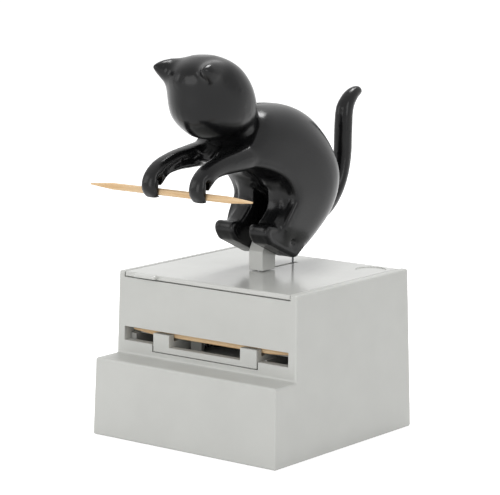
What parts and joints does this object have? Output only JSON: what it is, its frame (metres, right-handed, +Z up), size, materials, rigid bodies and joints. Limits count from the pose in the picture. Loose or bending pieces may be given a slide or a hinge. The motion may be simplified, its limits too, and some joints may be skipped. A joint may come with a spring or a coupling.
{
  "type": "toothpick dispenser",
  "caption": "Stepped box with a front slot and hinged lid; a black cat on a post tips forward to fetch a toothpick from the shuttle.",
  "frame": {"origin": "middle of the box's underside, on the face that it rests on", "axes": "+Z up, -Y towards the front with the slot and the step, +X to the right seen from the front"},
  "size_m": [0.074, 0.0992, 0.1234],
  "materials": {
    "box_shell": "satin warm light grey moulding",
    "inner_parts": "plain moulded grey",
    "cat": "satin black",
    "wood": "raw pale wood",
    "steel": "bright",
    "dark_wire": "dark drawn wire"
  },
  "bodies": {
    "base": {"base_screw_1": "steel", "base_screw_2": "steel", "base_screw_3": "steel", "base_screw_4": "steel", "bottom_plate": "inner_parts", "housing": "box_shell", "lid_hinge_pin": "steel", "magazine": "inner_parts", "magazine_screw_1": "steel", "magazine_screw_2": "steel", "shuttle_spring_left": "steel", "shuttle_spring_right": "steel", "toothpick_01": "wood", "toothpick_02": "wood", "toothpick_03": "wood", "toothpick_04": "wood", "toothpick_05": "wood", "toothpick_06": "wood", "toothpick_07": "wood", "toothpick_08": "wood", "toothpick_09": "wood", "toothpick_10": "wood", "toothpick_11": "wood", "toothpick_12": "wood", "toothpick_13": "wood", "toothpick_14": "wood", "toothpick_15": "wood", "toothpick_16": "wood", "toothpick_17": "wood", "toothpick_18": "wood"},
    "lid": {"axle_clip_left": "steel", "axle_clip_right": "steel", "lid": "box_shell", "pivot_post": "box_shell", "post_screw_1": "steel", "post_screw_2": "steel", "return_spring": "steel", "rocker_axle": "steel"},
    "cat": {"cat_body_left": "cat", "cat_body_right": "cat", "cat_head": "cat", "cat_tail": "cat", "pivot_pin": "steel", "toothpick_held": "wood"},
    "rocker": {"rocker": "inner_parts"},
    "link": {"link_wire": "dark_wire"},
    "shuttle": {"shuttle": "box_shell"}
  },
  "joints": [
    {"name": "lid_hinge", "type": "hinge", "parent": "base", "child": "lid", "pos_m": [0, 0.0336, 0.0502], "axis": [-1, 0, 0], "range_deg": [0, 100]},
    {"name": "cat_tilt", "type": "hinge", "parent": "lid", "child": "cat", "pos_m": [0, 0.007, 0.0622], "axis": [1, 0, 0], "range_deg": [0, 60], "stiffness_Nm_per_rad": 0.03, "springref_deg": -40.11, "deforming": ["return_spring"]},
    {"name": "rocker_turn", "type": "hinge", "parent": "lid", "child": "rocker", "pos_m": [0, 0.0126, 0.0402], "axis": [1, 0, 0], "range_deg": [0, 80]},
    {"name": "link_swing", "type": "hinge", "parent": "cat", "child": "link", "pos_m": [0, 0.0208, 0.0614], "axis": [1, 0, 0], "range_deg": [-51.5, 0]},
    {"name": "shuttle_slide", "type": "slide", "parent": "base", "child": "shuttle", "axis": [0, -1, 0], "range_m": [0, 0.0109], "deforming": ["shuttle_spring_left", "shuttle_spring_right"]}
  ],
  "couplings": [
    {"joint": "rocker_turn", "follows": "cat_tilt", "ratio": 1.3333},
    {"joint": "link_swing", "follows": "cat_tilt", "ratio": -0.85833},
    {"joint": "shuttle_slide", "follows": "cat_tilt", "m_per_rad": 0.010409}
  ]
}
